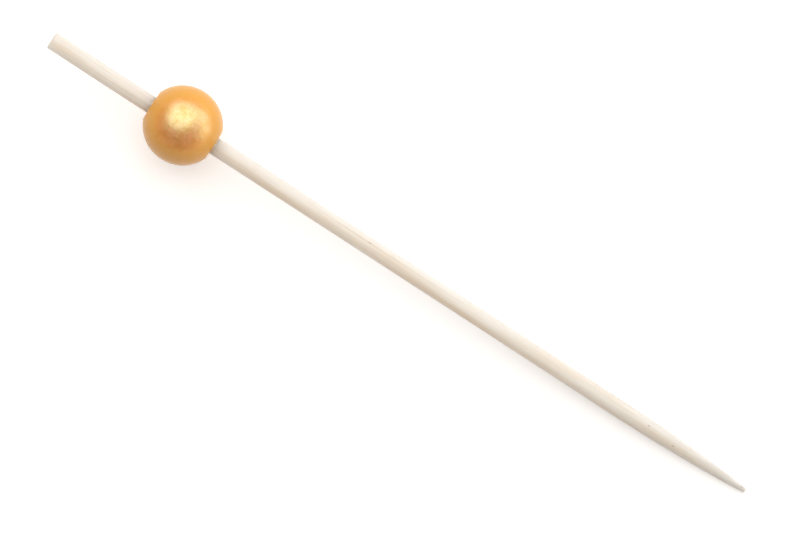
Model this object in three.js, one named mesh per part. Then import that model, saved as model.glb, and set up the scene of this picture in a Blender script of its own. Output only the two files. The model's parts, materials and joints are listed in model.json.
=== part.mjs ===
// Beaded party skewer: a round bamboo stick, ground to a long point, with one turned wooden bead
// glued near its blunt end. The bead is painted gold.
//
// Sizes are millimetres. The skewer lies on a table, as it does when it is put down: it rests on the
// bead and on the belly of its point. +Z is up and the table is z = 0. +X runs along the stick
// towards the point. The origin is on the table, under the middle of the skewer.
import * as THREE from "three";

// Stick
const STICK_LENGTH = 120; // from the blunt end to the nib
const STICK_DIAMETER = 2.6;
const BLUNT_EDGE_BREAK = 0.12; // the sawn end's edge, softened by tumbling
const POINT_LENGTH = 25; // the ground stretch
const POINT_FULLNESS = 2.4; // 1 is a plain cone, and more is a fuller, more convex point
const NIB_DIAMETER = 0.8; // across the blunted tip
const NIB_ROUND = 0.2; // radius of the edge round the tip

// Bead
const BEAD_DIAMETER = 11.6;
const BEAD_FROM_BLUNT_END = 22.5; // from the stick's blunt end to the bead's middle
const LAND_WIDTH = 0.35; // the flat ring round each mouth of the bore
const LAND_ROUND = 0.4; // radius between that flat and the ball
const MOUTH_BREAK = 0.3; // 45 degree break at each mouth

// Glue joint
const BORE_CLEARANCE = 0.25; // from the stick to the bore's wall, on the radius
const BOND_GAP = 0.02; // left between the cured glue and each wall
const BOND_CREEP = 0.25; // how far the glue climbs the stick, out of each mouth

// Fineness of the round shapes
const STICK_SIDES = 32;
const BEAD_SIDES = 64;
const POINT_RINGS = 28;
const NIB_STEPS = 4;
const BALL_STEPS = 24;
const ROUND_STEPS = 5;
const CREEP_STEPS = 6;

const STICK_RADIUS = STICK_DIAMETER / 2;
const NIB_RADIUS = NIB_DIAMETER / 2;
const BEAD_RADIUS = BEAD_DIAMETER / 2;
const BORE_RADIUS = STICK_RADIUS + BORE_CLEARANCE;
const MOUTH_RADIUS = BORE_RADIUS + MOUTH_BREAK;
const LAND_RADIUS = MOUTH_RADIUS + LAND_WIDTH;

// The round between ball and land is an arc that touches both, so its centre is this high, and the
// land is one arc radius higher.
const LAND_ROUND_HEIGHT = Math.sqrt((BEAD_RADIUS - LAND_ROUND) ** 2 - LAND_RADIUS ** 2);
const BEAD_HALF_HEIGHT = LAND_ROUND_HEIGHT + LAND_ROUND;

const bamboo = new THREE.MeshStandardMaterial({ color: 0xf2e3c9, roughness: 0.7, metalness: 0 });
const goldPaint = new THREE.MeshStandardMaterial({ color: 0xdca245, roughness: 0.38, metalness: 0.75 });
const curedGlue = new THREE.MeshStandardMaterial({ color: 0xe9dfc4, roughness: 0.3, metalness: 0 });

// Every piece is turned about the stick. A profile point is (distance from the axis, place along it).
const at = (radius, along) => new THREE.Vector2(radius, along);

/** Points of an arc of a profile, both ends included. Angle 0 points straight out from the axis. */
function arc(centre, radius, from, to, steps) {
  return Array.from({ length: steps + 1 }, (_, i) => {
    const angle = from + ((to - from) * i) / steps;
    return at(centre.x + radius * Math.cos(angle), centre.y + radius * Math.sin(angle));
  });
}

/** The same stretch of profile at the bead's other end, run backwards so that it joins on. */
function otherEnd(points) {
  return points.map((p) => at(p.x, -p.y)).reverse();
}

/** A solid turned from a profile, with its axis along +X. */
function turned(name, profile, sides, material) {
  const geometry = new THREE.LatheGeometry(profile, sides).rotateZ(-Math.PI / 2);
  const mesh = new THREE.Mesh(geometry, material);
  mesh.name = name;
  return mesh;
}

/** The ground point's rings from the shank down to the nib, measured from the blunt end. */
function pointRings() {
  const groundLength = POINT_LENGTH - NIB_ROUND;
  const groundEnd = STICK_LENGTH - NIB_ROUND;
  const ground = Array.from({ length: POINT_RINGS + 1 }, (_, i) => {
    const done = i / POINT_RINGS;
    const radius = STICK_RADIUS - (STICK_RADIUS - NIB_RADIUS) * done ** POINT_FULLNESS;
    return at(radius, groundEnd - groundLength * (1 - done));
  });
  const nib = arc(at(NIB_RADIUS - NIB_ROUND, groundEnd), NIB_ROUND, 0, Math.PI / 2, NIB_STEPS);
  return [...ground, ...nib.slice(1)];
}

function bambooStick() {
  const profile = [
    at(0, 0),
    at(STICK_RADIUS - BLUNT_EDGE_BREAK, 0),
    at(STICK_RADIUS, BLUNT_EDGE_BREAK),
    ...pointRings(),
    at(0, STICK_LENGTH),
  ];
  const stick = turned("bamboo_stick", profile, STICK_SIDES, bamboo);
  stick.position.x = -BEAD_FROM_BLUNT_END;
  return stick;
}

/** A ball with a flat land round each mouth of its bore, and its middle at the origin. */
function goldBead() {
  const roundCentre = at(LAND_RADIUS, LAND_ROUND_HEIGHT);
  const ballEnd = Math.atan2(roundCentre.y, roundCentre.x);
  const mouth = [
    ...arc(roundCentre, LAND_ROUND, ballEnd, Math.PI / 2, ROUND_STEPS),
    at(MOUTH_RADIUS, BEAD_HALF_HEIGHT),
    at(BORE_RADIUS, BEAD_HALF_HEIGHT - MOUTH_BREAK),
  ];
  const ball = arc(at(0, 0), BEAD_RADIUS, -ballEnd, ballEnd, BALL_STEPS).slice(1, -1);
  const profile = [...otherEnd(mouth), ...ball, ...mouth];
  return turned("gold_bead", [...profile, profile[0]], BEAD_SIDES, goldPaint);
}

/** The sleeve of glue in the bore. At each mouth it thins out up the stick in a hollow curve. */
function glueBond() {
  const inner = STICK_RADIUS + BOND_GAP;
  const outer = BORE_RADIUS - BOND_GAP;
  const shoulder = BEAD_HALF_HEIGHT - MOUTH_BREAK;
  const rise = MOUTH_BREAK + BOND_CREEP;
  const creep = Array.from({ length: CREEP_STEPS + 1 }, (_, i) => {
    const angle = (Math.PI / 2) * (i / CREEP_STEPS);
    return at(outer - (outer - inner) * Math.sin(angle), shoulder + rise * (1 - Math.cos(angle)));
  });
  const profile = [...otherEnd(creep), ...creep];
  return turned("glue_bond", [...profile, profile[0]], STICK_SIDES, curedGlue);
}

/** Tilt at which a ring of the stick comes down to the table, with the bead on the table too. */
function tiltThatGrounds(ring) {
  const along = ring.y - BEAD_FROM_BLUNT_END;
  return Math.asin(BEAD_RADIUS / Math.hypot(along, ring.x)) - Math.atan2(ring.x, along);
}

// The bead's middle is the pivot: the point comes down until the first of its rings touches.
const skewer = new THREE.Group();
skewer.name = "beaded_skewer";
skewer.add(bambooStick(), goldBead(), glueBond());
skewer.rotation.y = Math.min(...pointRings().map(tiltThatGrounds));

// Set down on the table, with its middle over the origin.
const laid = new THREE.Group();
laid.add(skewer);
const reach = new THREE.Box3().setFromObject(laid, true);
laid.position.set(-(reach.min.x + reach.max.x) / 2, 0, -reach.min.z);

export default laid;
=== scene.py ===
"""A beaded bamboo skewer on a white table, under two softboxes, seen from straight above.

The stick, its gold-painted wooden bead and the glue between them are each turned about one straight
axis. A piece is modelled standing on that axis, with the bead's middle at the origin and +Z towards
the point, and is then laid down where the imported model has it. Lengths are metres, written in
millimetres times MM.
"""

import json
import logging
import math
from collections.abc import Callable, Iterator
from contextlib import contextmanager
from dataclasses import dataclass, field
from enum import Enum

import bmesh
import bpy
from mathutils import Matrix, Vector

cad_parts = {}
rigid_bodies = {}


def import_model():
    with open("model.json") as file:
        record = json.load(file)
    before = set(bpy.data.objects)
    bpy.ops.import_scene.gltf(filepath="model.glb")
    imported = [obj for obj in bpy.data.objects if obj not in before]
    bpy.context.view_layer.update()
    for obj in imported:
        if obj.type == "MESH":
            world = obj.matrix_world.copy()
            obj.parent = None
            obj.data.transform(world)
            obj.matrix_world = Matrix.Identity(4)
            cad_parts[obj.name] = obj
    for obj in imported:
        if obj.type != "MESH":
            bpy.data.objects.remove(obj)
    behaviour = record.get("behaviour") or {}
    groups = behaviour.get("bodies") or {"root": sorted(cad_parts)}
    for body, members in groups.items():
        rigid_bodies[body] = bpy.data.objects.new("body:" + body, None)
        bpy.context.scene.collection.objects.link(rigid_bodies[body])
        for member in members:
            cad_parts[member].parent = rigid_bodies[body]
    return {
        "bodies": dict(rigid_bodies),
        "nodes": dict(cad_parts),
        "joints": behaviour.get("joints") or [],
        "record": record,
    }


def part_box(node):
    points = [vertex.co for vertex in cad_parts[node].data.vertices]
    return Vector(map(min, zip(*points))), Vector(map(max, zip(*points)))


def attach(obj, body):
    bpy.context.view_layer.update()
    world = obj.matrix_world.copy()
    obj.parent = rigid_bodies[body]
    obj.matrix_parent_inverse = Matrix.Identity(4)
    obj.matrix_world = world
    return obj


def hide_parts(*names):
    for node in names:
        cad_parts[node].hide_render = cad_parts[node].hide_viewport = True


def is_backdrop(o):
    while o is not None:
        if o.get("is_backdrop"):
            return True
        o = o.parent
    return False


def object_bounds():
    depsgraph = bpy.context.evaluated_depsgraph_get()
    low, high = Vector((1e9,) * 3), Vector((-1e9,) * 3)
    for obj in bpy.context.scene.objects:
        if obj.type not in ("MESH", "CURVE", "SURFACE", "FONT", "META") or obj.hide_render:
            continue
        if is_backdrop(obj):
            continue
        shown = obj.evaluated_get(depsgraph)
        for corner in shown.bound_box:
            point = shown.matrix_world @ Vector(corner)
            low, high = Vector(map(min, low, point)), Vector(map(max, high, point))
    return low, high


MM = 0.001
PICTURE_WIDTH = 800
BORE_RADIUS = 1.55 * MM
MOUTH_BREAK = 0.3 * MM
# Cosine above which a face counts as square to the axis
SQUARE_TO_AXIS = 0.99

log = logging.getLogger("skewer")

Numbers = tuple[float, ...]
WHITE: Numbers = (1.0, 1.0, 1.0, 1.0)


class Slot(Enum):
    """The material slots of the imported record."""

    BAMBOO = "bamboo"
    GOLD_PAINT = "gold_paint"
    CURED_GLUE = "cured_glue"


class Mouth(Enum):
    """The two mouths of the bead's bore, by the side of the bead that they are on."""

    BLUNT_SIDE = -1
    POINT_SIDE = 1


class Unevenness(Enum):
    """What a relief looks like."""

    CLOUDY = "CLOUDS"
    RINGED = "WOOD"


class LampShape(Enum):
    """The outline of a softbox."""

    OBLONG = "RECTANGLE"
    ROUND = "ELLIPSE"


def from_srgb(red: int, green: int, blue: int) -> Numbers:
    """A colour in linear light.

    Args:
        red: the colour's red, from 0 to 255.
        green: its green.
        blue: its blue.

    Returns:
        Red, green, blue and an alpha of 1, as a colour socket takes them.
    """
    shares = (channel / 255 for channel in (red, green, blue))
    return tuple(s / 12.92 if s <= 0.04045 else ((s + 0.055) / 1.055) ** 2.4 for s in shares) + (1.0,)


# The axis that every piece is turned about


@dataclass(frozen=True)
class SkewerAxis:
    """The straight line through the stick, and the places along it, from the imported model.

    Places along the axis are counted from the bead's middle, and are positive towards the point.
    """

    bead_middle: Vector
    direction: Vector
    blunt_end: float
    nib: float
    land: float
    stick_radius: float
    bead_radius: float

    @classmethod
    def of_frame(cls, frame: dict) -> "SkewerAxis":
        """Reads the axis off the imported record's mounts and the nodes' boxes.


        Returns:
            The skewer's axis.
        """
        mounts = {mount["name"]: mount for mount in frame["record"]["mounts"]}
        direction = Vector(mounts["nib"]["axis"]).normalized()
        low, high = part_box("gold_bead")
        middle = (low + high) / 2
        stick_low, stick_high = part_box("bamboo_stick")

        def along(mount: str) -> float:
            """Place of a mount along the axis."""
            return (Vector(mounts[mount]["pos_m"]) - middle).dot(direction)

        return cls(
            bead_middle=middle,
            direction=direction,
            blunt_end=along("blunt_end"),
            nib=along("nib"),
            land=along("bead_land"),
            stick_radius=(stick_high.y - stick_low.y) / 2,
            bead_radius=(high.y - low.y) / 2,
        )

    def laid_down(self) -> Matrix:
        """The matrix that lays a standing piece down: its +Z on the axis, and its +X upwards."""
        sideways = Vector((0, 0, 1)).cross(self.direction).normalized() * -1
        upwards = sideways.cross(self.direction)
        turned = Matrix((upwards, sideways, self.direction)).transposed().to_4x4()
        return Matrix.Translation(self.bead_middle) @ turned


# The bench: edit-mode work on one piece


class Workpiece:
    """A mesh that stands on the axis, is shaped in edit mode and finished with modifiers."""

    def __init__(self, name: str) -> None:
        """Takes over the primitive that was just added.

        Args:
            name: the name of the piece.
        """
        self.body = bpy.context.active_object
        self.body.name = self.body.data.name = name

    @contextmanager
    def edit(self, elements: str) -> Iterator[None]:
        """Edit mode on this piece alone, with nothing selected.

        Args:
            elements: VERT, EDGE or FACE, which the selection is made of.
        """
        bpy.ops.object.select_all(action="DESELECT")
        self.body.select_set(True)
        bpy.context.view_layer.objects.active = self.body
        bpy.ops.object.mode_set(mode="EDIT")
        bpy.ops.mesh.select_mode(type=elements)
        bpy.ops.mesh.select_all(action="DESELECT")
        yield
        bpy.ops.object.mode_set(mode="OBJECT")

    def _pick(self, kind: str, wanted: Callable[..., bool]) -> None:
        """Selects elements in edit mode, and nothing else.

        Args:
            kind: edges or faces, as a bmesh names them.
            wanted: says of one element whether it is selected.
        """
        bpy.ops.mesh.select_all(action="DESELECT")
        mesh = bmesh.from_edit_mesh(self.body.data)
        for element in getattr(mesh, kind):
            if wanted(element):
                element.select_set(True)
        bmesh.update_edit_mesh(self.body.data)

    def pick_faces(self, wanted: Callable[[bmesh.types.BMFace], bool]) -> None:
        """Selects the faces that are wanted."""
        self._pick("faces", wanted)

    def pick_edges(self, wanted: Callable[[bmesh.types.BMEdge], bool]) -> None:
        """Selects the edges that are wanted."""
        self._pick("edges", wanted)

    def pick_ring(self, height: float, radius: float, slack: float = 0.002 * MM) -> None:
        """Selects the ring of edges at a height and a radius.

        Args:
            height: place of the ring along the axis.
            radius: its radius.
            slack: how far a vertex may be off.
        """

        def on_ring(edge: bmesh.types.BMEdge) -> bool:
            """Whether both ends of an edge lie on the ring."""
            return all(
                abs(v.co.z - height) < slack and abs(v.co.xy.length - radius) < slack for v in edge.verts
            )

        self.pick_edges(on_ring)

    @staticmethod
    def draw_out(rise: float, scale: float, height: float) -> None:
        """Extrudes what is selected along the axis, and scales the new ring about the axis.

        Args:
            rise: how far the new ring lies from the old one.
            scale: the new ring's radius as a share of the old one's.
            height: place of the new ring along the axis.
        """
        bpy.ops.mesh.extrude_region_move(TRANSFORM_OT_translate={"value": (0, 0, rise)})
        bpy.ops.transform.resize(value=(scale, scale, 1), center_override=(0, 0, height))

    def group(self, name: str, weight: Callable[[Vector], float]) -> str:
        """Gives each vertex a weight that a modifier reads.

        Args:
            name: the vertex group's name.
            weight: the weight at a place, from 0 to 1.

        Returns:
            The group's name.
        """
        group = self.body.vertex_groups.new(name=name)
        for vertex in self.body.data.vertices:
            group.add([vertex.index], weight(vertex.co), "REPLACE")
        return name

    def lay_down(self, axis: SkewerAxis, smooth_below: float) -> bpy.types.Object:
        """Shades the piece smooth and puts its place into its mesh.

        Args:
            axis: the axis that the piece lies on.
            smooth_below: angle in degrees up to which an edge is shaded smooth.

        Returns:
            The finished piece.
        """
        bpy.ops.object.select_all(action="DESELECT")
        self.body.select_set(True)
        bpy.context.view_layer.objects.active = self.body
        bpy.ops.object.shade_smooth_by_angle(angle=math.radians(smooth_below))
        self.body.matrix_world = axis.laid_down()
        bpy.ops.object.transform_apply(location=True, rotation=True, scale=True)
        return self.body


@dataclass(frozen=True)
class Relief:
    """A shallow unevenness, from a displace modifier.

    across and along are the size of its features across and along the axis. depth is from its lowest
    to its highest spot. still is the share of that depth which lies below the untouched surface: at 1
    the relief only cuts inwards. ring_noise and ring_wander are the size and the strength of the noise
    that bends the rings of a ringed relief.
    """

    name: str
    across: float
    along: float
    depth: float
    still: float = 0.5
    kind: Unevenness = Unevenness.CLOUDY
    fineness: int = 2
    start: Numbers = (0.0, 0.0, 0.0)
    ring_noise: float = 2.0
    ring_wander: float = 6.0

    def _texture(self) -> bpy.types.Texture:
        """The procedural texture that gives the heights."""
        texture = bpy.data.textures.new(self.name, self.kind.value)
        if self.kind is Unevenness.RINGED:
            texture.wood_type = "RINGNOISE"
            texture.noise_scale = self.ring_noise
            texture.turbulence = self.ring_wander
        else:
            texture.noise_scale = 1.0
            texture.noise_depth = self.fineness
        return texture

    def cut(self, piece: Workpiece, group: str = "") -> None:
        """Moves the piece's surface and applies the modifier.

        Args:
            piece: the piece, in object mode, still standing.
            group: the vertex group that says where the relief is.
        """
        ruler = bpy.data.objects.new(self.name + "_ruler", None)
        bpy.context.scene.collection.objects.link(ruler)
        ruler.location = self.start
        ruler.scale = (self.across, self.across, self.along)
        bpy.context.view_layer.update()
        texture = self._texture()
        displace = piece.body.modifiers.new(self.name, "DISPLACE")
        displace.texture = texture
        displace.texture_coords = "OBJECT"
        displace.texture_coords_object = ruler
        displace.strength = self.depth
        displace.mid_level = self.still
        displace.vertex_group = group
        bpy.context.view_layer.objects.active = piece.body
        bpy.ops.object.modifier_apply(modifier=displace.name)
        bpy.data.objects.remove(ruler)
        bpy.data.textures.remove(texture)


# Shader nodes as Python expressions


@dataclass(frozen=True)
class Pattern:
    """A pattern in the body of a piece, by the size of its features across and along the axis.

    These sizes are millimetres. start is where the pattern starts, in features. detail is how many
    finer layers its noise has, and roughness is how strong they are.
    """

    across: float
    along: float
    start: float = 0.0
    detail: float = 2.0
    roughness: float = 0.5


@dataclass(frozen=True)
class Step:
    """A smooth step: while a value goes from low to high, the result goes from before to after."""

    low: float = 0.0
    high: float = 1.0
    before: float = 0.0
    after: float = 1.0


class Plug:
    """A number that comes out of a shader node, and takes part in Python expressions."""

    def __init__(self, shader: "Shader", socket: bpy.types.NodeSocket) -> None:
        """Wraps a socket.

        Args:
            shader: the shader that the socket's node is in.
            socket: the output.
        """
        self.shader = shader
        self.socket = socket

    def _math(self, operation: str, *terms: "Plug | float") -> "Plug":
        """Adds one Math node.

        Args:
            operation: what the node works out.
            terms: its inputs.

        Returns:
            The result.
        """
        inputs = dict(enumerate(terms))
        return self.shader.plug("ShaderNodeMath", {"operation": operation}, inputs)

    def __add__(self, other: "Plug | float") -> "Plug":
        """Sum."""
        return self._math("ADD", self, other)

    __radd__ = __add__

    def __sub__(self, other: "Plug | float") -> "Plug":
        """Difference."""
        return self._math("SUBTRACT", self, other)

    def __rsub__(self, other: float) -> "Plug":
        """Difference from a number."""
        return self._math("SUBTRACT", other, self)

    def __mul__(self, other: "Plug | float") -> "Plug":
        """Product."""
        return self._math("MULTIPLY", self, other)

    __rmul__ = __mul__

    def __abs__(self) -> "Plug":
        """Size without its sign."""
        return self._math("ABSOLUTE", self)

    def ramp(self, step: Step) -> "Plug":
        """Takes the number through a smooth step.

        Args:
            step: the step.

        Returns:
            The result.
        """
        return self.shader.plug(
            "ShaderNodeMapRange",
            {"interpolation_type": "SMOOTHSTEP"},
            {
                "Value": self,
                "From Min": step.low,
                "From Max": step.high,
                "To Min": step.before,
                "To Max": step.after,
            },
        )


class Shader:
    """A node tree, filled by expressions."""

    def __init__(self, owner: bpy.types.Material | bpy.types.World | bpy.types.Light) -> None:
        """Empties the owner's node tree.

        Args:
            owner: what the shader belongs to.
        """
        owner.use_nodes = True
        self.tree = owner.node_tree
        self.tree.nodes.clear()

    def node(
        self, kind: str, settings: dict[str, object], sockets: dict[str | int, object]
    ) -> bpy.types.ShaderNode:
        """Adds any node.

        Args:
            kind: the node's type.
            settings: properties of the node, set before its sockets.
            sockets: values or links of its inputs, by name or place.

        Returns:
            The node.
        """
        node = self.tree.nodes.new(kind)
        for name, value in settings.items():
            setattr(node, name, value)
        for key, value in sockets.items():
            source = value.socket if isinstance(value, Plug) else value
            if isinstance(source, bpy.types.NodeSocket):
                self.tree.links.new(source, node.inputs[key])
            else:
                node.inputs[key].default_value = source
        return node

    def plug(
        self,
        kind: str,
        settings: dict[str, object],
        sockets: dict[str | int, object],
        output: str | int = 0,
    ) -> Plug:
        """Adds any node and wraps one of its outputs.

        Args:
            kind: the node's type.
            settings: properties of the node.
            sockets: values or links of its inputs.
            output: the output's name or place.

        Returns:
            The output.
        """
        return Plug(self, self.node(kind, settings, sockets).outputs[output])

    def blend(self, share: Plug | float, first: object, second: object) -> bpy.types.NodeSocket:
        """Mixes two colours.

        Args:
            share: share of the second colour.
            first: a colour or a link to one.
            second: the other.

        Returns:
            The mixed colour.
        """
        node = self.node(
            "ShaderNodeMix", {"data_type": "RGBA"}, {"Factor": share, 6: first, 7: second}
        )
        return node.outputs[2]

    def on_axis(self, axis: SkewerAxis) -> Plug:
        """Place in the standing frame: x and y across the axis and z along it, in millimetres.

        Args:
            axis: the skewer's axis.

        Returns:
            The place, as a vector.
        """
        laid = axis.laid_down()
        place = self.plug("ShaderNodeTexCoord", {}, {}, "Object")
        return self.plug(
            "ShaderNodeMapping",
            {"vector_type": "TEXTURE"},
            {
                "Vector": place,
                "Location": laid.translation,
                "Rotation": laid.to_euler(),
                "Scale": (MM, MM, MM),
            },
        )

    def stretched(self, place: Plug, pattern: Pattern) -> Plug:
        """A place counted in a pattern's features, which are long or short along the axis.

        Args:
            place: a place in millimetres.
            pattern: the pattern.

        Returns:
            The place, as a vector.
        """
        return self.plug(
            "ShaderNodeMapping",
            {"vector_type": "POINT"},
            {
                "Vector": place,
                "Location": (pattern.start, pattern.start, pattern.start),
                "Scale": (1 / pattern.across, 1 / pattern.across, 1 / pattern.along),
            },
        )

    def noise(self, place: Plug, pattern: Pattern) -> Plug:
        """Cloudy noise.

        Args:
            place: where it is looked up, in millimetres.
            pattern: the size of its features, and its finer layers.

        Returns:
            A number from 0 to 1, near 0.5 on the whole.
        """
        return self.plug(
            "ShaderNodeTexNoise",
            {},
            {
                "Vector": self.stretched(place, pattern),
                "Scale": 1.0,
                "Detail": pattern.detail,
                "Roughness": pattern.roughness,
            },
        )

    def cells(self, place: Plug, pattern: Pattern) -> Plug:
        """Distance to the nearest of many scattered points.

        Args:
            place: where it is looked up, in millimetres.
            pattern: how far apart the points lie, on the whole.

        Returns:
            The distance, in features.
        """
        return self.plug(
            "ShaderNodeTexVoronoi", {}, {"Vector": self.stretched(place, pattern), "Scale": 1.0}
        )

    def bump(self, height: Plug, distance: float, strength: float) -> bpy.types.NodeSocket:
        """A normal that follows a height.

        Args:
            height: the height, from 0 to 1.
            distance: the depth of the relief between those two.
            strength: how much of it shows.

        Returns:
            The normal.
        """
        node = self.node(
            "ShaderNodeBump", {}, {"Strength": strength, "Distance": distance, "Height": height}
        )
        return node.outputs[0]

    def surface(self, shader: bpy.types.NodeSocket) -> None:
        """Ends the tree in its surface.

        Args:
            shader: what the surface is.
        """
        self.node("ShaderNodeOutputMaterial", {}, {"Surface": shader})


# Finishes


@dataclass(frozen=True)
class BambooFinish:
    """Bare bamboo: pale ground tissue with the browner fibre bundles running through it.

    The bundles are long cells in the body of the wood, so that they show as lines along the stick, as
    dots on the sawn end and as long ovals on the ground point. They are stronger in some places than in
    others, and small dark specks lie scattered between them. Reaches are millimetres along the axis, and
    grain_depth and light_spread are metres.
    """

    tissue_colour: Numbers = from_srgb(217, 212, 204)
    bundle_colour: Numbers = from_srgb(190, 170, 146)
    drift_colour: Numbers = from_srgb(209, 197, 183)
    sawn_colour: Numbers = from_srgb(176, 152, 122)
    speck_colour: Numbers = from_srgb(120, 88, 60)
    bundles: Pattern = Pattern(0.42, 45.0)
    bundle_strength: Pattern = Pattern(0.8, 14.0, start=3.0)
    fibres: Pattern = Pattern(0.07, 6.0, start=7.0, detail=3.0)
    drift: Pattern = Pattern(1.6, 22.0, start=11.0)
    specks: Pattern = Pattern(1.3, 4.0, start=17.0)
    grinding: Pattern = Pattern(0.25, 0.05, start=5.0, detail=1.0)
    bundle_edge: Step = Step(0.18, 0.42)
    weak_to_strong: Step = Step(0.35, 0.7, before=0.15, after=0.85)
    fibre_edge: Step = Step(0.45, 0.8)
    drift_edge: Step = Step(0.4, 0.75)
    speck_edge: Step = Step(0.03, 0.07)
    fibre_share: float = 0.35
    bundle_share: float = 0.55
    sawn_share: float = 0.5
    sawn_bundle_share: float = 0.5
    tip_share: float = 0.05
    speck_share: float = 0.6
    sawn_skin: float = 0.03
    sawn_reach: float = 0.3
    tip_reach: float = 1.6
    grinding_reach: float = 2.0
    fibre_height: float = 0.5
    bundle_height: float = 0.5
    grinding_height: float = 0.35
    grain_depth: float = 0.02 * MM
    grain_strength: float = 0.7
    roughness: Step = Step(0.3, 0.8, before=0.62, after=0.78)
    sheen: float = 0.15
    scattering: float = 1.0
    light_spread: float = 8.0 * MM
    spread_by_colour: Numbers = (1.0, 0.9, 0.82)

    def material(self, axis: SkewerAxis, point_start: float) -> bpy.types.Material:
        """Makes the material.

        Args:
            axis: the skewer's axis.
            point_start: place along the axis where the ground point starts.

        Returns:
            The material.
        """
        bamboo = bpy.data.materials.new(Slot.BAMBOO.value)
        shader = Shader(bamboo)
        place = shader.on_axis(axis)
        split = shader.node("ShaderNodeSeparateXYZ", {}, {"Vector": place})
        along = Plug(shader, split.outputs["Z"])
        blunt_end, nib, ground_from = axis.blunt_end / MM, axis.nib / MM, point_start / MM

        bundles = 1 - shader.cells(place, self.bundles).ramp(self.bundle_edge)
        strength = shader.noise(place, self.bundle_strength).ramp(self.weak_to_strong)
        fibres = shader.noise(place, self.fibres)
        drift = shader.noise(place, self.drift)
        specks = 1 - shader.cells(place, self.specks).ramp(self.speck_edge)
        end = 1 - along.ramp(Step(blunt_end + self.sawn_skin, blunt_end + self.sawn_reach))
        tip = along.ramp(Step(nib - self.tip_reach, nib))
        point = along.ramp(Step(ground_from, ground_from + self.grinding_reach))

        tissue = shader.blend(drift.ramp(self.drift_edge), self.tissue_colour, self.drift_colour)
        tissue = shader.blend(fibres.ramp(self.fibre_edge) * self.fibre_share, tissue, self.bundle_colour)
        tissue = shader.blend(bundles * strength * self.bundle_share, tissue, self.bundle_colour)
        # The sawn end is browner end grain, and the point is made a little darker towards its nib
        darker_ends = end * (self.sawn_share + bundles * self.sawn_bundle_share) + tip * self.tip_share
        tissue = shader.blend(darker_ends, tissue, self.sawn_colour)
        tissue = shader.blend(specks * self.speck_share, tissue, self.speck_colour)

        height = fibres * self.fibre_height + bundles * self.bundle_height
        height = height + shader.noise(place, self.grinding) * point * self.grinding_height
        principled = shader.node(
            "ShaderNodeBsdfPrincipled",
            {},
            {
                "Base Color": tissue,
                "Roughness": fibres.ramp(self.roughness),
                "Specular IOR Level": self.sheen,
                "Subsurface Weight": self.scattering,
                "Subsurface Radius": self.spread_by_colour,
                "Subsurface Scale": self.light_spread,
                "Normal": shader.bump(height, self.grain_depth, self.grain_strength),
            },
        )
        shader.surface(principled.outputs[0])
        return bamboo


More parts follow.
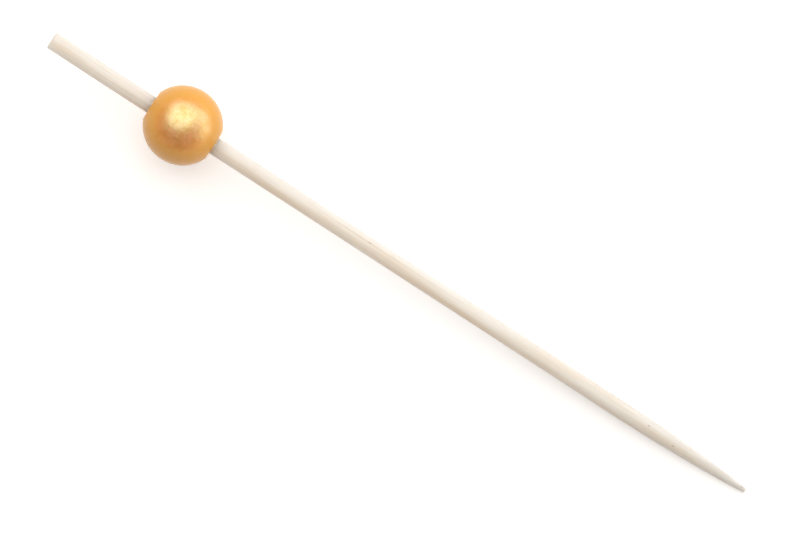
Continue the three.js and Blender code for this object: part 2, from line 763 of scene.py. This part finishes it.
@dataclass(frozen=True)
class GoldPaintFinish:
    """Metallic gold paint: pale flakes in an amber varnish, sprayed over turned wood.

    The flakes lie flat in the varnish, so that they show less where the surface is seen at a slant.
    There the varnish's colour is also made paler and yellower, a painted sheen. skin_depth is metres.
    """

    flake_colour: Numbers = from_srgb(226, 248, 190)
    deep_flake_colour: Numbers = from_srgb(220, 232, 150)
    varnish_colour: Numbers = from_srgb(253, 104, 5)
    deep_varnish_colour: Numbers = from_srgb(232, 76, 3)
    # Painted sheen: the varnish's colour where the surface is seen at a slant
    slant_painted_sheen_colour: Numbers = from_srgb(222, 155, 50)
    flakes: Pattern = Pattern(0.06, 0.06, roughness=0.6)
    mottle: Pattern = Pattern(1.4, 1.4, start=4.0, detail=3.0)
    waves: Pattern = Pattern(0.5, 1.6, start=9.0)
    grain: Pattern = Pattern(0.3, 0.3, start=2.0, detail=1.0)
    pimples: Pattern = Pattern(0.95, 0.95, start=6.0)
    mottle_edge: Step = Step(0.35, 0.7)
    wrinkled_where: Step = Step(0.45, 0.65)
    wrinkle_sharpness: float = 3.0
    pimple_edge: Step = Step(0.06, 0.2)
    pimpled_where: Step = Step(0.4, 0.55)
    flake_height: float = 0.1
    grain_height: float = 0.45
    wrinkle_height: float = 0.3
    pimple_height: float = 1.2
    skin_depth: float = 0.045 * MM
    skin_strength: float = 0.7
    slanted: Step = Step(0.0, 0.38)
    cover: Step = Step(0.3, 0.7, before=0.51, after=0.63)
    cover_at_slant: float = 0.06
    roughness: Step = Step(0.3, 0.7, before=0.35, after=0.47)
    varnish_roughness: float = 0.27

    def material(self, axis: SkewerAxis) -> bpy.types.Material:
        """Makes the material.

        Args:
            axis: the skewer's axis.

        Returns:
            The material.
        """
        paint = bpy.data.materials.new(Slot.GOLD_PAINT.value)
        shader = Shader(paint)
        place = shader.on_axis(axis)
        flakes = shader.noise(place, self.flakes)
        mottle = shader.noise(place, self.mottle)
        grain = shader.noise(place, self.grain)
        waves = shader.noise(place, self.waves)
        crests = 1 - abs(waves * 2 - 1) * self.wrinkle_sharpness
        wrinkles = crests.ramp(Step()) * mottle.ramp(self.wrinkled_where)
        pimples = 1 - shader.cells(place, self.pimples).ramp(self.pimple_edge)
        pimples = pimples * mottle.ramp(self.pimpled_where)
        height = flakes * self.flake_height + grain * self.grain_height
        height = height + wrinkles * self.wrinkle_height + pimples * self.pimple_height
        skin = shader.bump(height, self.skin_depth, self.skin_strength)
        slant = shader.plug("ShaderNodeLayerWeight", {}, {}, "Facing").ramp(self.slanted)
        deep = mottle.ramp(self.mottle_edge)
        body = shader.blend(deep, self.varnish_colour, self.deep_varnish_colour)
        metal = shader.node(
            "ShaderNodeBsdfPrincipled",
            {},
            {
                "Base Color": shader.blend(deep, self.flake_colour, self.deep_flake_colour),
                "Metallic": 1.0,
                "Roughness": flakes.ramp(self.roughness),
                "Normal": skin,
            },
        )
        # The varnish's colour turns to the painted sheen, paler and yellower, where the surface is seen at
        # a slant
        varnish = shader.node(
            "ShaderNodeBsdfPrincipled",
            {},
            {
                "Base Color": shader.blend(slant, body, self.slant_painted_sheen_colour),
                "Roughness": self.varnish_roughness,
                "Normal": skin,
            },
        )
        cover = grain.ramp(self.cover) * (1 - slant * (1 - self.cover_at_slant))
        mixed = shader.node(
            "ShaderNodeMixShader", {}, {0: cover, 1: varnish.outputs[0], 2: metal.outputs[0]}
        )
        shader.surface(mixed.outputs[0])
        return paint


@dataclass(frozen=True)
class GlueFinish:
    """Cured white glue, almost clear, with a faint yellow tint and paler clouds.

    Its tint is darker than the glue's own, a painted shade where the stick goes into the bead. skin_depth
    is metres.
    """

    # A yellow tint, made darker than the glue's own as painted shade where the stick goes into the bead
    colour: Numbers = from_srgb(222, 198, 160)
    clouds: Pattern = Pattern(0.35, 0.35)
    cloud_edge: Step = Step(0.35, 0.7)
    cloud_share: float = 0.4
    skin_depth: float = 0.02 * MM
    skin_strength: float = 0.5
    roughness: Step = Step(0.3, 0.7, before=0.35, after=0.47)
    clearness: float = 0.1
    refraction: float = 1.47

    def material(self, axis: SkewerAxis) -> bpy.types.Material:
        """Makes the material.

        Args:
            axis: the skewer's axis.

        Returns:
            The material.
        """
        glue = bpy.data.materials.new(Slot.CURED_GLUE.value)
        shader = Shader(glue)
        clouds = shader.noise(shader.on_axis(axis), self.clouds)
        principled = shader.node(
            "ShaderNodeBsdfPrincipled",
            {},
            {
                "Base Color": shader.blend(
                    clouds.ramp(self.cloud_edge) * self.cloud_share, self.colour, WHITE
                ),
                "Roughness": clouds.ramp(self.roughness),
                "Transmission Weight": self.clearness,
                "IOR": self.refraction,
                "Normal": shader.bump(clouds, self.skin_depth, self.skin_strength),
            },
        )
        shader.surface(principled.outputs[0])
        return glue


# The three pieces


@dataclass
class BambooStick:
    """The round stick: a sawn, edge-broken blunt end, a planed shank and a ground point."""

    axis: SkewerAxis
    finish: BambooFinish = field(default_factory=BambooFinish)
    edge_break: float = 0.12 * MM
    edge_steps: int = 3
    point_length: float = 25.0 * MM
    point_fullness: float = 2.4
    nib_radius: float = 0.4 * MM
    nib_round: float = 0.2 * MM
    sides: int = 240
    shank_rings: int = 94
    point_rings: int = 60
    nib_rings: int = 6
    end_rings: int = 9
    smooth_below: float = 35.0
    reliefs: tuple[Relief, ...] = (
        Relief("planed_flats", across=1.1 * MM, along=60 * MM, depth=0.03 * MM, still=0.8),
        Relief("fibre_ridges", across=0.16 * MM, along=9 * MM, depth=0.022 * MM, still=0.8, fineness=1),
    )

    @property
    def point_start(self) -> float:
        """Place along the axis where the ground point starts."""
        return self.axis.nib - self.point_length

    def _point_profile(self) -> Iterator[tuple[float, float]]:
        """The rings of the ground point and of the round about its nib, as place and radius."""
        ground = self.point_length - self.nib_round
        taken_off = self.axis.stick_radius - self.nib_radius
        for ring in range(1, self.point_rings + 1):
            done = ring / self.point_rings
            radius = self.axis.stick_radius - taken_off * done**self.point_fullness
            yield self.point_start + ground * done, radius
        for ring in range(1, self.nib_rings + 1):
            angle = math.pi / 2 * ring / self.nib_rings
            radius = self.nib_radius - self.nib_round * (1 - math.cos(angle))
            yield self.axis.nib - self.nib_round * (1 - math.sin(angle)), radius

    def _shank(self) -> Workpiece:
        """A cylinder from the blunt end to the point's start, cut into rings."""
        length = self.point_start - self.axis.blunt_end
        bpy.ops.object.select_all(action="DESELECT")
        bpy.ops.mesh.primitive_cylinder_add(
            vertices=self.sides,
            radius=self.axis.stick_radius,
            depth=length,
            end_fill_type="NGON",
            location=(0, 0, 0),
        )
        stick = Workpiece("turned_bamboo_stick")
        middle = (self.point_start + self.axis.blunt_end) / 2
        stick.body.data.transform(Matrix.Translation((0, 0, middle)))
        with stick.edit("EDGE"):
            stick.pick_edges(lambda e: abs(e.verts[0].co.z - e.verts[1].co.z) > length / 2)
            bpy.ops.mesh.subdivide(number_cuts=self.shank_rings)
        return stick

    def _grind_point(self, stick: Workpiece) -> None:
        """Draws the shank's far face out into the point, ring by ring."""
        with stick.edit("FACE"):
            stick.pick_faces(lambda f: f.normal.z > SQUARE_TO_AXIS)
            place, radius = self.point_start, self.axis.stick_radius
            for further, thinner in self._point_profile():
                stick.draw_out(further - place, thinner / radius, further)
                place, radius = further, thinner
            self._close(self.axis.nib)

    def _close(self, height: float) -> None:
        """Insets the selected end face ring by ring, down to a point in its middle.

        Args:
            height: the face's place along the axis.
        """
        for ring in range(self.end_rings - 1):
            left = self.end_rings - ring
            Workpiece.draw_out(0.0, (left - 1) / left, height)
        bpy.ops.mesh.merge(type="CENTER")

    def _saw_blunt_end(self, stick: Workpiece) -> None:
        """Breaks the blunt end's edge and closes its face."""
        with stick.edit("FACE"):
            stick.pick_faces(lambda f: f.normal.z < -SQUARE_TO_AXIS)
            bpy.ops.mesh.bevel(offset=self.edge_break, segments=self.edge_steps, affect="EDGES")
            stick.pick_faces(lambda f: f.normal.z < -SQUARE_TO_AXIS)
            self._close(self.axis.blunt_end)

    def build(self) -> bpy.types.Object:
        """Models, lays down and dresses the stick.

        Returns:
            The finished stick.
        """
        stick = self._shank()
        self._grind_point(stick)
        self._saw_blunt_end(stick)
        for relief in self.reliefs:
            relief.cut(stick)
        body = stick.lay_down(self.axis, self.smooth_below)
        body.data.materials.append(self.finish.material(self.axis, self.point_start))
        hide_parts("bamboo_stick")
        return body


@dataclass
class GoldBead:
    """The turned wooden ball, its bore with a land round each mouth, and its coat of paint.

    paint_from is where the reliefs start, as a share of the bore's radius, so that the bore stays true.
    """

    axis: SkewerAxis
    finish: GoldPaintFinish = field(default_factory=GoldPaintFinish)
    bore_radius: float = BORE_RADIUS
    mouth_break: float = MOUTH_BREAK
    paint_round: float = 0.09 * MM
    paint_round_steps: int = 4
    paint_from: float = 1.05
    cut_slack: float = 0.0001 * MM
    segments: int = 320
    rings: int = 160
    bore_cuts: int = 40
    smooth_below: float = 50.0
    reliefs: tuple[Relief, ...] = (
        Relief("out_of_round", across=6 * MM, along=6 * MM, depth=0.05 * MM, fineness=0),
        Relief("orange_peel", across=0.5 * MM, along=0.5 * MM, depth=0.012 * MM, fineness=1),
        Relief(
            "growth_rings",
            across=3.5 * MM,
            along=9 * MM,
            depth=0.005 * MM,
            kind=Unevenness.RINGED,
            start=(14 * MM, 12 * MM, 0.0),
        ),
    )

    def _ball(self) -> Workpiece:
        """A ball with both ends cut off flat at the lands."""
        bpy.ops.object.select_all(action="DESELECT")
        bpy.ops.mesh.primitive_uv_sphere_add(
            segments=self.segments, ring_count=self.rings, radius=self.axis.bead_radius, location=(0, 0, 0)
        )
        bead = Workpiece("painted_wooden_bead")
        with bead.edit("EDGE"):
            for mouth in Mouth:
                bpy.ops.mesh.select_all(action="SELECT")
                bpy.ops.mesh.bisect(
                    plane_co=(0, 0, mouth.value * self.axis.land),
                    plane_no=(0, 0, mouth.value),
                    clear_outer=True,
                    threshold=self.cut_slack,
                )
        return bead

    def _bore(self, bead: Workpiece) -> None:
        """Draws each open end in over its land and mouth, and joins the two by the bore."""
        land_edge = math.sqrt(self.axis.bead_radius**2 - self.axis.land**2)
        mouth_radius = self.bore_radius + self.mouth_break
        with bead.edit("EDGE"):
            for mouth in Mouth:
                side = mouth.value
                bead.pick_edges(lambda e: e.is_boundary and e.verts[0].co.z * side > self.axis.land / 2)
                bead.draw_out(0.0, mouth_radius / land_edge, side * self.axis.land)
                throat = self.axis.land - self.mouth_break
                bead.draw_out(-side * self.mouth_break, self.bore_radius / mouth_radius, side * throat)
            bead.pick_edges(lambda e: e.is_boundary)
            bpy.ops.mesh.bridge_edge_loops(number_cuts=self.bore_cuts)
            for mouth in Mouth:
                for radius in (land_edge, mouth_radius):
                    bead.pick_ring(mouth.value * self.axis.land, radius)
                    bpy.ops.mesh.bevel(
                        offset=self.paint_round, segments=self.paint_round_steps, affect="EDGES"
                    )
            bpy.ops.mesh.select_all(action="SELECT")
            bpy.ops.mesh.normals_make_consistent(inside=False)

    def build(self) -> bpy.types.Object:
        """Models, lays down and dresses the bead.

        Returns:
            The finished bead.
        """
        bead = self._ball()
        self._bore(bead)
        bare_within = self.bore_radius * self.paint_from
        painted = bead.group("painted", lambda place: 1.0 if place.xy.length > bare_within else 0.0)
        for relief in self.reliefs:
            relief.cut(bead, painted)
        body = bead.lay_down(self.axis, self.smooth_below)
        body.data.materials.append(self.finish.material(self.axis))
        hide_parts("gold_bead")
        return body


@dataclass
class GlueBond:
    """The sleeve of cured glue in the bore, drawn up the stick in a hollow curve at each mouth.

    wall_gap is how far it stays clear of the bore's wall, and how far it reaches into the stick.
    """

    axis: SkewerAxis
    finish: GlueFinish = field(default_factory=GlueFinish)
    bore_radius: float = BORE_RADIUS
    wall_gap: float = 0.02 * MM
    mouth_break: float = MOUTH_BREAK
    creep: float = 0.25 * MM
    sides: int = 128
    creep_rings: int = 10
    smooth_below: float = 60.0
    lumps: Relief = Relief(
        "glue_lumps", across=0.5 * MM, along=0.5 * MM, depth=0.06 * MM, still=0.8, fineness=1
    )

    def _sleeve(self) -> Workpiece:
        """An open tube, as long as the bore's straight stretch."""
        shoulder = self.axis.land - self.mouth_break
        bpy.ops.object.select_all(action="DESELECT")
        bpy.ops.mesh.primitive_cylinder_add(
            vertices=self.sides,
            radius=self.bore_radius - self.wall_gap,
            depth=2 * shoulder,
            end_fill_type="NOTHING",
            location=(0, 0, 0),
        )
        return Workpiece("cured_glue_sleeve")

    def _draw_up(self, glue: Workpiece) -> None:
        """Thins each end out up the stick, and closes the sleeve by its inner wall."""
        inner = self.axis.stick_radius - self.wall_gap
        outer = self.bore_radius - self.wall_gap
        shoulder = self.axis.land - self.mouth_break
        rise = self.mouth_break + self.creep
        with glue.edit("EDGE"):
            for mouth in Mouth:
                side = mouth.value
                glue.pick_edges(lambda e: e.is_boundary and e.verts[0].co.z * side > shoulder / 2)
                radius, height = outer, shoulder
                for ring in range(1, self.creep_rings + 1):
                    angle = math.pi / 2 * ring / self.creep_rings
                    thinner = outer - (outer - inner) * math.sin(angle)
                    higher = shoulder + rise * (1 - math.cos(angle))
                    glue.draw_out(side * (higher - height), thinner / radius, side * higher)
                    radius, height = thinner, higher
            glue.pick_edges(lambda e: e.is_boundary)
            bpy.ops.mesh.bridge_edge_loops()
            bpy.ops.mesh.select_all(action="SELECT")
            bpy.ops.mesh.normals_make_consistent(inside=False)

    def build(self) -> bpy.types.Object:
        """Models, lays down and dresses the glue.

        Returns:
            The finished sleeve.
        """
        glue = self._sleeve()
        self._draw_up(glue)
        clear_of_stick = self.axis.stick_radius + self.lumps.depth
        outside = glue.group("outside", lambda place: 1.0 if place.xy.length > clear_of_stick else 0.0)
        self.lumps.cut(glue, outside)
        body = glue.lay_down(self.axis, self.smooth_below)
        body.data.materials.append(self.finish.material(self.axis))
        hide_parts("glue_bond")
        return body


# The studio


@dataclass(frozen=True)
class Overhead:
    """The camera, straight above the skewer, which runs down to the right in the picture.

    slant is degrees, lens and sensor are millimetres, skewer_in_picture is the skewer's length in
    pixels, and near and far are the distances in metres between which the camera sees.
    """

    slant: float = 33.0
    lens: float = 200.0
    sensor: float = 36.0
    skewer_in_picture: float = 830.0
    near: float = 0.01
    far: float = 20.0

    @property
    def roll(self) -> float:
        """Turn of the camera about +Z that gives the skewer its slant, in radians."""
        return math.radians(self.slant)

    def picture_right(self) -> Vector:
        """The table's direction that runs to the right in the picture."""
        return Vector((math.cos(self.roll), math.sin(self.roll), 0))

    def picture_up(self) -> Vector:
        """The table's direction that runs up in the picture."""
        return Vector((-math.sin(self.roll), math.cos(self.roll), 0))

    def set_up(self, low: Vector, high: Vector) -> bpy.types.Object:
        """Adds the camera and makes it the scene's.

        Args:
            low: lowest corner of the skewer's box.
            high: its highest corner.

        Returns:
            The camera.
        """
        middle = (low + high) / 2
        width = (high.x - low.x) * PICTURE_WIDTH / self.skewer_in_picture
        height = width * self.lens / self.sensor
        data = bpy.data.cameras.new("overhead")
        data.lens = self.lens
        data.sensor_width = self.sensor
        data.clip_start = self.near
        data.clip_end = self.far
        camera = bpy.data.objects.new("overhead", data)
        camera.location = middle + Vector((0, 0, height))
        camera.rotation_euler = (0, 0, self.roll)
        bpy.context.scene.collection.objects.link(camera)
        bpy.context.scene.camera = camera
        return camera


@dataclass(frozen=True)
class Softbox:
    """A flat lamp, turned to the bead.

    bearing is clockwise from the picture's top and elevation is above the table, both in degrees.
    distance, width and height are metres, and power is watts.
    """

    name: str
    shape: LampShape
    bearing: float
    elevation: float
    distance: float
    width: float
    height: float
    power: float

    def set_up(self, view: Overhead, target: Vector) -> bpy.types.Object:
        """Adds the lamp, turned to the bead.

        Args:
            view: the camera, which bearings are counted by.
            target: what the lamp points at.

        Returns:
            The lamp.
        """
        bearing, elevation = math.radians(self.bearing), math.radians(self.elevation)
        level = view.picture_right() * math.sin(bearing) + view.picture_up() * math.cos(bearing)
        towards = level * math.cos(elevation) + Vector((0, 0, math.sin(elevation)))
        data = bpy.data.lights.new(self.name, "AREA")
        data.shape = self.shape.value
        data.size, data.size_y = self.width, self.height
        data.energy = self.power
        lamp = bpy.data.objects.new(self.name, data)
        lamp.visible_camera = False
        lamp.location = target + towards * self.distance
        lamp.rotation_euler = towards.to_track_quat("Z", "Y").to_euler()
        bpy.context.scene.collection.objects.link(lamp)
        return lamp


@dataclass(frozen=True)
class TableFinish:
    """A white table top. The picture shows it white, and it keeps the skewer's shadow.

    Its glow grows with the distance from the skewer's middle, in metres, as the lamps light it less.
    """

    colour: Numbers = from_srgb(229, 229, 229)
    glow: Step = Step(0.2, 0.7, before=0.42, after=1.0)

    def material(self) -> bpy.types.Material:
        """Makes the material.

        Returns:
            The material.
        """
        white = bpy.data.materials.new("white_table")
        shader = Shader(white)
        diffuse = shader.node("ShaderNodeBsdfDiffuse", {}, {"Color": self.colour})
        path = shader.node("ShaderNodeLightPath", {}, {})
        seen = Plug(shader, path.outputs["Is Camera Ray"]) + Plug(shader, path.outputs["Is Glossy Ray"])
        seen = seen + Plug(shader, path.outputs["Is Transmission Ray"])
        place = shader.plug("ShaderNodeTexCoord", {}, {}, "Object")
        distance = shader.plug("ShaderNodeVectorMath", {"operation": "LENGTH"}, {0: place}, "Value")
        strength = seen.ramp(Step()) * distance.ramp(self.glow)
        glow = shader.node("ShaderNodeEmission", {}, {"Strength": strength})
        both = shader.node("ShaderNodeAddShader", {}, {0: diffuse.outputs[0], 1: glow.outputs[0]})
        shader.surface(both.outputs[0])
        return white


@dataclass
class Studio:
    """The white table, the lamps and the room round them.

    daylight is the room's brightness over the sine of the height above the horizon.
    """

    view: Overhead
    target: Vector
    table_width: float = 4.0
    table_finish: TableFinish = field(default_factory=TableFinish)
    room: Numbers = from_srgb(255, 238, 221)
    daylight: Step = Step(0.05, 0.3, before=0.79, after=0.33)
    softboxes: tuple[Softbox, ...] = (
        Softbox(
            "round_softbox",
            LampShape.ROUND,
            bearing=1.5,
            elevation=57.0,
            distance=0.60,
            width=1.16,
            height=1.06,
            power=4.75,
        ),
        Softbox(
            "low_softbox",
            LampShape.OBLONG,
            bearing=86.0,
            elevation=16.0,
            distance=0.60,
            width=0.90,
            height=0.38,
            power=1.85,
        ),
    )

    def _table(self) -> None:
        """Adds the table top at z = 0."""
        bpy.ops.object.select_all(action="DESELECT")
        bpy.ops.mesh.primitive_plane_add(size=self.table_width, location=(0, 0, 0))
        table = bpy.context.active_object
        table.name = "white_table"
        table.data.materials.append(self.table_finish.material())
        table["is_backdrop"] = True

    def _room(self) -> None:
        """Adds the world: a warm room, bright at the horizon and dim above it."""
        world = bpy.data.worlds.new("studio_room")
        bpy.context.scene.world = world
        shader = Shader(world)
        direction = shader.plug("ShaderNodeTexCoord", {}, {}, "Generated")
        split = shader.node("ShaderNodeSeparateXYZ", {}, {"Vector": direction})
        height = Plug(shader, split.outputs["Z"])
        background = shader.node(
            "ShaderNodeBackground", {}, {"Color": self.room, "Strength": height.ramp(self.daylight)}
        )
        shader.node("ShaderNodeOutputWorld", {}, {"Surface": background.outputs[0]})

    def set_up(self) -> None:
        """Sets up the table, the room and the lamps."""
        self._table()
        self._room()
        for softbox in self.softboxes:
            softbox.set_up(self.view, self.target)
            log.info("lamp %s: %.1f W", softbox.name, softbox.power)


def main() -> None:
    """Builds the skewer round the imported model, and the studio round the skewer."""
    logging.basicConfig(level=logging.INFO, format="%(name)s: %(message)s")
    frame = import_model()
    cad_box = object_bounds()
    axis = SkewerAxis.of_frame(frame)
    view = Overhead()
    view.set_up(*cad_box)
    for part in (BambooStick(axis), GoldBead(axis), GlueBond(axis)):
        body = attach(part.build(), "root")
        log.info("%s: %d faces", body.name, len(body.data.polygons))
    Studio(view, axis.bead_middle).set_up()
    bpy.context.scene.view_settings.view_transform = "Standard"


if __name__ == "__main__":
    main()
